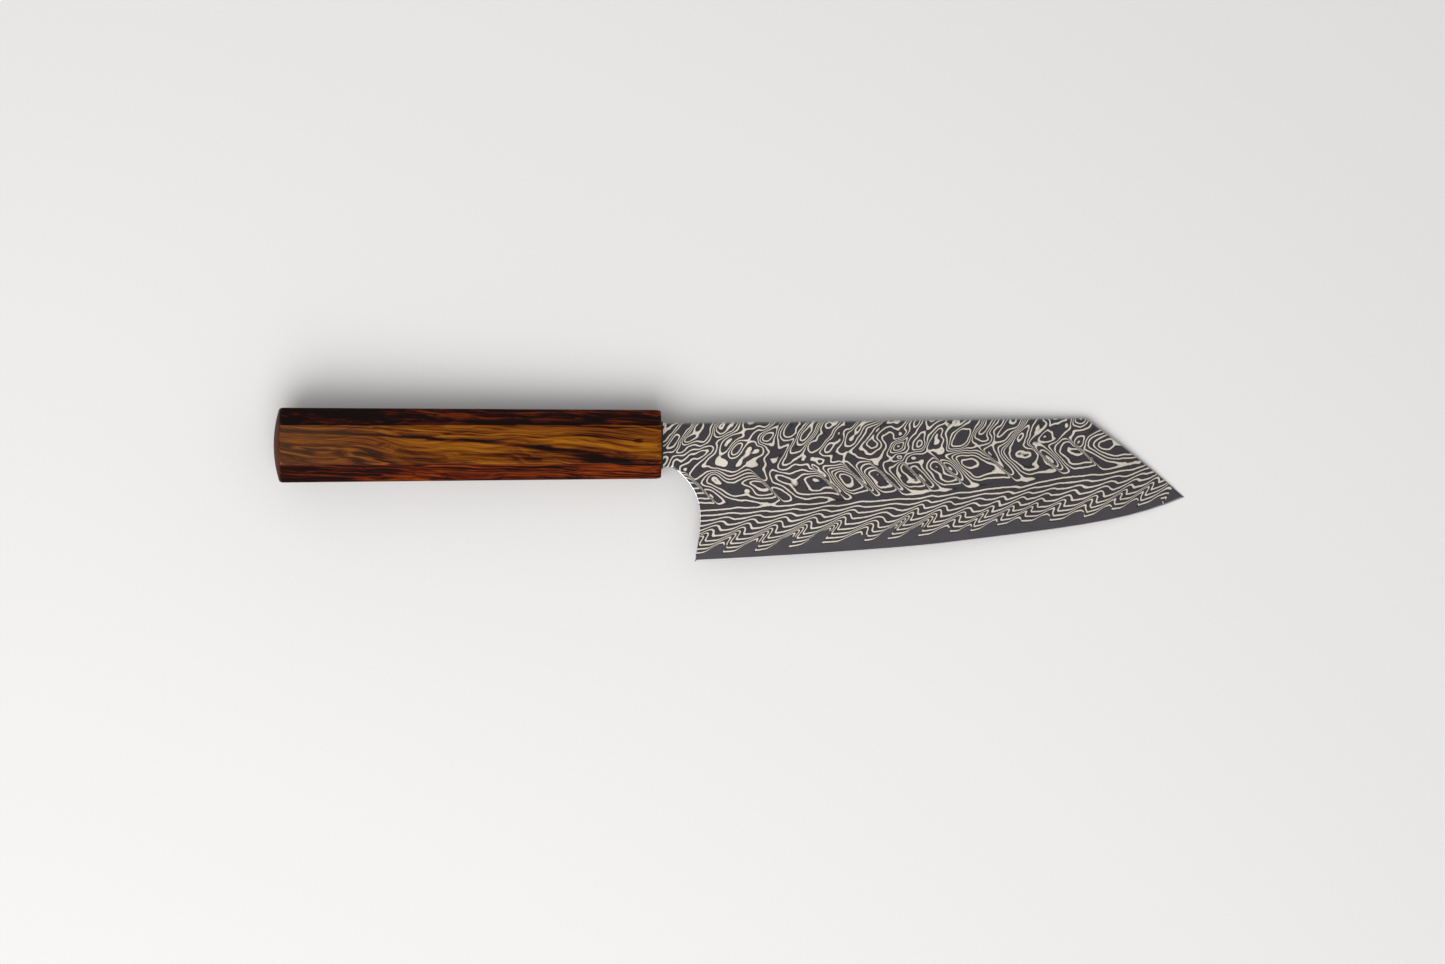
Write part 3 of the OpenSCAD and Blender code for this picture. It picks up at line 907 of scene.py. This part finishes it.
def make_cladding(name, node, steel, seed, mirrored):
    """One patterned layer of the blade, with its part of the tang."""
    share = core_share()
    loop = subdivided(CLAD, 0.5)
    plate = Plate()
    plate.build(loop, flank, lambda x, y: share * flank(x, y), steel.grid,
                clad_rims(loop, steel))
    half = tang_half()
    plate.build(tang_loop(), lambda x, y: half, lambda x, y: share * flank(x, y), 0)
    mesh = plate.mesh(name)
    places = np.zeros(len(mesh.vertices) * 3)
    mesh.vertices.foreach_get("co", places)
    x, y, _ = places.reshape(-1, 3).T
    for key, values in (("layer", layer(x, y, seed)), ("light_half", light_half(x, y, seed))):
        mesh.attributes.new(key, "FLOAT", "POINT").data.foreach_set("value", values)
    if mirrored:
        mesh.transform(Matrix.Scale(-1, 4, (0, 0, 1)))
        mesh.flip_normals()
    piece(name, to_row(mesh), bpy.data.materials["etched pattern-welded steel"], node)


def core_share():
    """The core's share of the blade's thickness where cladding covers it."""
    points = cad_points("right_cladding")
    x, y, z = points[points[:, 0] > cladding_start() + 5].T
    return (z / flank(x, y)).min()


class MakeCladding(bpy.types.Operator):
    """Builds both pattern-welded layers with their rounded choil and spine"""
    bl_idname = "knife.make_cladding"
    bl_label = "Make cladding"

    def execute(self, context):
        steel = context.scene.knife_steel
        etched_steel(steel)
        make_cladding("pattern_welded_right", "right_cladding", steel, 3, False)
        make_cladding("pattern_welded_left", "left_cladding", steel, 8, True)
        return {"FINISHED"}


def bare_rims(loop, steel):
    """The bare core's rim: a flat bevel at the edge, round at the choil and the clipped point."""
    on_waves = distance_to_open(wave_line(), loop) < ON_LINE
    on_edge = distance_to_open(edge_line(), loop) < ON_LINE
    half = np.array([flank(*p) for p in loop])
    # The bevels from both faces leave a cutting edge 0.04 mm thick
    deep = half - 0.02
    bevel = deep / math.tan(steel.edge_angle)
    round_width = np.minimum(steel.rim_round / MM, 0.6 * half)
    width = np.where(on_waves, 0, np.where(on_edge, bevel, round_width))
    depth = np.where(on_waves, 0, np.where(on_edge, deep, round_width))
    return width, depth, ~on_edge


class MakeCore(bpy.types.Operator):
    """Builds the core steel: the bare band with its ground edge, the hidden sheet and the tang"""
    bl_idname = "knife.make_core"
    bl_label = "Make core"

    def execute(self, context):
        steel = context.scene.knife_steel
        material = satin_steel(steel)
        share = core_share()
        plate = Plate()
        bare = subdivided(bare_loop(), 1.2)
        plate.build(bare, flank, lambda x, y: -flank(x, y), 1.2, bare_rims(bare, steel), both=True)
        for loop in (CLAD, tang_loop()):
            plate.build(loop, lambda x, y: share * flank(x, y), lambda x, y: -share * flank(x, y), 0)
        piece("core", to_row(plate.mesh("core")), material, "core_steel")
        return {"FINISHED"}


def handle_sizes():
    """The handle's length and its half sizes, straight up, across and slanted, at both ends."""
    places = cad_points("handle_body")
    front = places[places[:, 0] > -0.01]
    length = -places[:, 0].min()
    back = places[places[:, 0] < -0.9 * length]
    sizes = {}
    for key, way in (("across", (0, 1)), ("upright", (1, 0)), ("slanted", (0.7071, 0.7071))):
        at_front = (front[:, 1:] @ np.array(way)).max()
        sizes[key] = (at_front, (back[:, 1:] @ np.array(way)).max())
    return length, sizes


def handle_tree(material):
    """A node tree that wraps a grid into the handle: eight tapering sides with soft corners, a flat
    front and a domed butt. Its inputs are in metres."""
    tree = bpy.data.node_groups.new("eight-sided handle", "GeometryNodeTree")
    tree.interface.new_socket("Geometry", in_out="OUTPUT", socket_type="NodeSocketGeometry")
    for name in ("Length", "Across front", "Across butt", "Upright front", "Upright butt",
                 "Slanted front", "Slanted butt", "Dome radius", "Corner power"):
        tree.interface.new_socket(name, in_out="INPUT", socket_type="NodeSocketFloat")
    tree.interface.new_socket("Around", in_out="INPUT", socket_type="NodeSocketInt")
    given = add(tree, "NodeGroupInput").outputs
    # A square of points: rows from the middle of the butt to the middle of the front, and columns
    # around the handle
    rows = 90
    butt_end, front_start = 0.3, 0.85
    columns = add(tree, "ShaderNodeMath", [given["Around"], 1], operation="ADD")
    grid = add(tree, "GeometryNodeMeshGrid", {
        "Size X": 1.0, "Size Y": 1.0, "Vertices X": rows, "Vertices Y": columns})
    place = add(tree, "ShaderNodeSeparateXYZ", [add(tree, "GeometryNodeInputPosition")])
    u = add(tree, "ShaderNodeMath", [place.outputs[0], 0.5], operation="ADD")
    v = add(tree, "ShaderNodeMath", [place.outputs[1], 0.5], operation="ADD")
    angle = add(tree, "ShaderNodeMath", [v, 2 * math.pi], operation="MULTIPLY")
    from_butt = add(tree, "ShaderNodeMapRange", [u, 0, butt_end])
    from_front = add(tree, "ShaderNodeMapRange", [u, 1, front_start])
    scale = add(tree, "ShaderNodeMath", [from_butt, from_front], operation="MINIMUM")
    back = add(tree, "ShaderNodeMapRange", [u, butt_end, front_start, 1, 0])
    # The eight sides' reaches are joined by a high power, which leaves the corners slightly soft. The
    # reaches are taken in units of about their own size, so that the powers stay near 1.
    unit = 0.01
    total = None
    for turn in range(8):
        size = ("Upright", "Slanted", "Across", "Slanted")[turn % 4]
        growth = add(tree, "ShaderNodeMath", [given[f"{size} butt"], given[f"{size} front"]],
                     operation="SUBTRACT")
        reach = add(tree, "ShaderNodeMath", [back, growth, given[f"{size} front"]],
                    operation="MULTIPLY_ADD")
        facing = add(tree, "ShaderNodeMath", [angle, turn * math.pi / 4], operation="SUBTRACT")
        facing = add(tree, "ShaderNodeMath", [facing], operation="COSINE")
        facing = add(tree, "ShaderNodeMath", [facing, 0], operation="MAXIMUM")
        term = add(tree, "ShaderNodeMath", [facing, unit], operation="MULTIPLY")
        term = add(tree, "ShaderNodeMath", [term, reach], operation="DIVIDE")
        term = add(tree, "ShaderNodeMath", [term, given["Corner power"]], operation="POWER")
        if total is None:
            total = term
        else:
            total = add(tree, "ShaderNodeMath", [total, term], operation="ADD")
    root = add(tree, "ShaderNodeMath", [1, given["Corner power"]], operation="DIVIDE")
    joined = add(tree, "ShaderNodeMath", [total, root], operation="POWER")
    outline = add(tree, "ShaderNodeMath", [unit, joined], operation="DIVIDE")
    radius = add(tree, "ShaderNodeMath", [outline, scale], operation="MULTIPLY")
    dome_square = add(tree, "ShaderNodeMath", [given["Dome radius"], 2], operation="POWER")
    square = add(tree, "ShaderNodeMath", [radius, 2], operation="POWER")
    dome = add(tree, "ShaderNodeMath", [dome_square, square], operation="SUBTRACT")
    dome = add(tree, "ShaderNodeMath", [dome], operation="SQRT")
    sunk = add(tree, "ShaderNodeMath", [given["Dome radius"], dome], operation="SUBTRACT")
    along = add(tree, "ShaderNodeMath", [sunk, given["Length"]], operation="SUBTRACT")
    along = add(tree, "ShaderNodeMath", [back, along], operation="MULTIPLY")
    up = add(tree, "ShaderNodeMath", [angle], operation="COSINE")
    up = add(tree, "ShaderNodeMath", [radius, up], operation="MULTIPLY")
    out = add(tree, "ShaderNodeMath", [angle], operation="SINE")
    out = add(tree, "ShaderNodeMath", [radius, out], operation="MULTIPLY")
    spot = add(tree, "ShaderNodeCombineXYZ", [along, up, out])
    moved = add(tree, "GeometryNodeSetPosition", {0: grid, "Position": spot})
    welded = add(tree, "GeometryNodeMergeByDistance", {0: moved, "Distance": 0.000002})
    smooth = add(tree, "GeometryNodeSetShadeSmooth", [welded])
    real = add(tree, "GeometryNodeRealizeInstances", [smooth])
    painted = add(tree, "GeometryNodeSetMaterial", {0: real, "Material": material})
    add(tree, "NodeGroupOutput", [painted])
    return tree


def made_by_nodes(name, tree, values, extra=None):
    """The plain mesh that a node tree makes, with its inputs set by their identifiers."""
    holder = bpy.data.objects.new(name, bpy.data.meshes.new(name))
    bpy.context.scene.collection.objects.link(holder)
    modifier = holder.modifiers.new("shape", "NODES")
    modifier.node_group = tree
    for item in tree.interface.items_tree:
        if item.in_out == "INPUT":
            modifier[item.identifier] = values[item.name]
    if extra is not None:
        extra(holder)
    graph = bpy.context.evaluated_depsgraph_get()
    graph.update()
    mesh = bpy.data.meshes.new_from_object(holder.evaluated_get(graph), depsgraph=graph)
    bpy.data.objects.remove(holder)
    if not mesh.polygons:
        raise RuntimeError(f"The node tree of {name} made nothing")
    mesh.name = name
    return mesh


def slot_cutter():
    """A solid as large as the slot for the tang, running a little out of the handle's front."""
    places = cad_points("tang_bedding")
    back = places[:, 0].min()
    beyond, close = 2, 0.05
    corners = []
    for at, x in ((back, back), (0, 0), (0, beyond)):
        near = places[np.abs(places[:, 0] - at) < close]
        y, z = np.abs(near[:, 1]).max(), np.abs(near[:, 2]).max()
        corners.append([(x, y, z), (x, -y, z), (x, -y, -z), (x, y, -z)])
    bm = bmesh.new()
    rings = [[bm.verts.new(p) for p in ring] for ring in corners]
    bm.faces.new(rings[0])
    bm.faces.new(rings[-1][::-1])
    for a, b in zip(rings, rings[1:]):
        for i in range(4):
            j = (i + 1) % 4
            bm.faces.new((a[i], a[j], b[j], b[i]))
    bmesh.ops.recalc_face_normals(bm, faces=bm.faces)
    mesh = bpy.data.meshes.new("slot")
    bm.to_mesh(mesh)
    bm.free()
    mesh.transform(Matrix.Scale(MM, 4))
    cutter = bpy.data.objects.new("slot", mesh)
    bpy.context.scene.collection.objects.link(cutter)
    return cutter


class MakeHandle(bpy.types.Operator):
    """Builds the eight-sided wooden handle with its slot"""
    bl_idname = "knife.make_handle"
    bl_label = "Make handle"

    def execute(self, context):
        wood = context.scene.knife_handle
        material = oiled_hardwood(wood)
        length, sizes = handle_sizes()
        values = {"Length": length * MM, "Dome radius": wood.dome_radius,
                  "Corner power": wood.corner_power, "Around": wood.around}
        for key, (front, butt) in sizes.items():
            values[f"{key.capitalize()} front"] = front * MM
            values[f"{key.capitalize()} butt"] = butt * MM
        cutter = slot_cutter()

        def finish(holder):
            soft = holder.modifiers.new("soft ends", "BEVEL")
            soft.width = wood.end_round
            soft.segments = 3
            soft.limit_method = "ANGLE"
            soft.angle_limit = math.radians(50)
            cut = holder.modifiers.new("slot", "BOOLEAN")
            cut.operation = "DIFFERENCE"
            cut.object = cutter
            cut.solver = "EXACT"

        mesh = made_by_nodes("handle", handle_tree(material), values, finish)
        bpy.data.objects.remove(cutter)
        mesh.transform(TO_ROW)
        mesh.set_sharp_from_angle(angle=math.radians(35))
        piece("handle", mesh, material, "handle_body")
        return {"FINISHED"}


def bead_tree(material):
    """A node tree that runs a round bead along a rounded rectangle."""
    tree = bpy.data.node_groups.new("mouth bead", "GeometryNodeTree")
    tree.interface.new_socket("Geometry", in_out="OUTPUT", socket_type="NodeSocketGeometry")
    for name in ("Height", "Width", "Thickness"):
        tree.interface.new_socket(name, in_out="INPUT", socket_type="NodeSocketFloat")
    given = add(tree, "NodeGroupInput").outputs
    wide = add(tree, "ShaderNodeMath", [given["Width"], given["Thickness"]], operation="SUBTRACT")
    tall = add(tree, "ShaderNodeMath", [given["Height"], given["Thickness"]], operation="SUBTRACT")
    box = add(tree, "GeometryNodeCurvePrimitiveQuadrilateral", {"Width": wide, "Height": tall})
    # A little under half the width, so that the rounded ends don't quite meet
    corner = add(tree, "ShaderNodeMath", [wide, 0.49], operation="MULTIPLY")
    path = add(tree, "GeometryNodeFilletCurve", {
        0: box, "Radius": corner, "Count": 12, "Limit Radius": True}, mode="POLY")
    thin = add(tree, "ShaderNodeMath", [given["Thickness"], 0.5], operation="MULTIPLY")
    section = add(tree, "GeometryNodeCurvePrimitiveCircle", {"Resolution": 20, "Radius": thin})
    swept = add(tree, "GeometryNodeCurveToMesh", {"Curve": path, "Profile Curve": section})
    smooth = add(tree, "GeometryNodeSetShadeSmooth", [swept])
    real = add(tree, "GeometryNodeRealizeInstances", [smooth])
    painted = add(tree, "GeometryNodeSetMaterial", {0: real, "Material": material})
    add(tree, "NodeGroupOutput", [painted])
    return tree


class MakeSeal(bpy.types.Operator):
    """Builds the bead that closes the slot's mouth, and gives the hidden bedding its finish"""
    bl_idname = "knife.make_seal"
    bl_label = "Make seal"

    def execute(self, context):
        material = dark_resin("wiped black epoxy", "#17120F", 0.35)
        places = cad_points("mouth_seal")
        low, high = places.min(0), places.max(0)
        thick, tall, wide = (high - low) * MM
        mesh = made_by_nodes("seal_bead", bead_tree(material),
                             {"Height": tall, "Width": wide, "Thickness": thick})
        stand = Matrix(((0, 0, 1), (0, 1, 0), (-1, 0, 0))).to_4x4()
        centre = Matrix.Translation(Vector((low + high) / 2 * MM))
        mesh.transform(TO_ROW @ centre @ stand)
        piece("seal_bead", mesh, material, "mouth_seal")
        bedding = frame["nodes"]["tang_bedding"]
        bedding.data.materials.clear()
        bedding.data.materials.append(dark_resin("bedding epoxy", "#4A3A2A", 0.5))
        return {"FINISHED"}


class MakeStage(bpy.types.Operator):
    """Sets up the floor, the lights and the camera over the knife"""
    bl_idname = "knife.make_stage"
    bl_label = "Make stage"

    def execute(self, context):
        stage = context.scene.knife_stage
        scene = context.scene
        make_floor(stage)
        make_light("softbox", (-0.35, -0.6, 1.1), 1.2, 14.0)
        make_world(scene)
        make_camera(scene, stage)
        scene.view_settings.view_transform = "Standard"
        return {"FINISHED"}


def make_floor(stage):
    """A wide, pale, matt floor."""
    mesh = bpy.data.meshes.new("floor")
    half = 1.5
    mesh.from_pydata([(-half, -half, 0), (half, -half, 0), (half, half, 0), (-half, half, 0)],
                     [], [(0, 1, 2, 3)])
    floor = bpy.data.objects.new("floor", mesh)
    bpy.context.scene.collection.objects.link(floor)
    material, tree, shader = new_material("pale matt floor")
    place = add(tree, "ShaderNodeTexCoord").outputs["Object"]
    cloud = add(tree, "ShaderNodeTexNoise", {"Vector": place, "Scale": 900.0, "Detail": 2.0})
    tone = add(tree, "ShaderNodeMapRange", {"Value": cloud, "To Min": 0.98, "To Max": 1.02})
    colour = add(tree, "ShaderNodeMix", {0: 1.0, 6: linear(stage.floor), 7: tone},
                 data_type="RGBA", blend_type="MULTIPLY").outputs[2]
    tree.links.new(colour, shader.inputs["Base Color"])
    shader.inputs["Roughness"].default_value = 0.8
    mesh.materials.append(material)


def make_light(name, place, size, power):
    """A square area lamp that faces the knife."""
    lamp = bpy.data.lights.new(name, "AREA")
    lamp.size = size
    lamp.energy = power
    thing = bpy.data.objects.new(name, lamp)
    thing.location = place
    thing.rotation_euler = (-Vector(place)).to_track_quat("-Z", "Y").to_euler()
    bpy.context.scene.collection.objects.link(thing)


def make_world(scene):
    """An even pale surround."""
    world = bpy.data.worlds.new("studio")
    world.use_nodes = True
    back = world.node_tree.nodes["Background"]
    back.inputs["Color"].default_value = linear("#F4F4F6")
    back.inputs["Strength"].default_value = 0.52
    scene.world = world


def make_camera(scene, stage):
    """A camera straight over the knife, with the handle's axis level in view."""
    data = bpy.data.cameras.new("camera")
    data.sensor_width = 36
    data.lens = stage.lens
    data.clip_end = 20
    thing = bpy.data.objects.new("camera", data)
    # The middle of the view on the knife, and how far its handle is turned from level
    along, up, turn = 20.84, -12.7, math.radians(-0.126)
    distance = stage.view_width * stage.lens / data.sensor_width
    thing.location = TO_ROW @ Vector((along * MM, up * MM, 0)) + Vector((0, 0, distance))
    thing.rotation_euler = (0, 0, turn)
    scene.collection.objects.link(thing)
    scene.camera = thing


# ---------------------------------------------------------------- panel and registration

OPERATORS = (MakeCladding, MakeCore, MakeHandle, MakeSeal, MakeStage)


class KnifePanel(bpy.types.Panel):
    bl_idname = "VIEW3D_PT_knife"
    bl_label = "Kitchen knife"
    bl_space_type = "VIEW_3D"
    bl_region_type = "UI"
    bl_category = "Knife"

    def draw(self, context):
        scene = context.scene
        for settings in (scene.knife_steel, scene.knife_handle, scene.knife_stage):
            box = self.layout.box()
            for key in settings.__annotations__:
                box.prop(settings, key)
        for operator in OPERATORS:
            self.layout.operator(operator.bl_idname)


CLASSES = (KnifeSteelSettings, KnifeHandleSettings, KnifeStageSettings) + OPERATORS + (KnifePanel,)


def register():
    for cls in CLASSES:
        bpy.utils.register_class(cls)
    bpy.types.Scene.knife_steel = bpy.props.PointerProperty(type=KnifeSteelSettings)
    bpy.types.Scene.knife_handle = bpy.props.PointerProperty(type=KnifeHandleSettings)
    bpy.types.Scene.knife_stage = bpy.props.PointerProperty(type=KnifeStageSettings)


def unregister():
    for name in ("knife_steel", "knife_handle", "knife_stage"):
        delattr(bpy.types.Scene, name)
    for cls in reversed(CLASSES):
        bpy.utils.unregister_class(cls)


def main():
    register()
    bpy.ops.knife.make_cladding()
    bpy.ops.knife.make_core()
    bpy.ops.knife.make_handle()
    bpy.ops.knife.make_seal()
    bpy.ops.knife.make_stage()


if __name__ == "__main__":
    main()
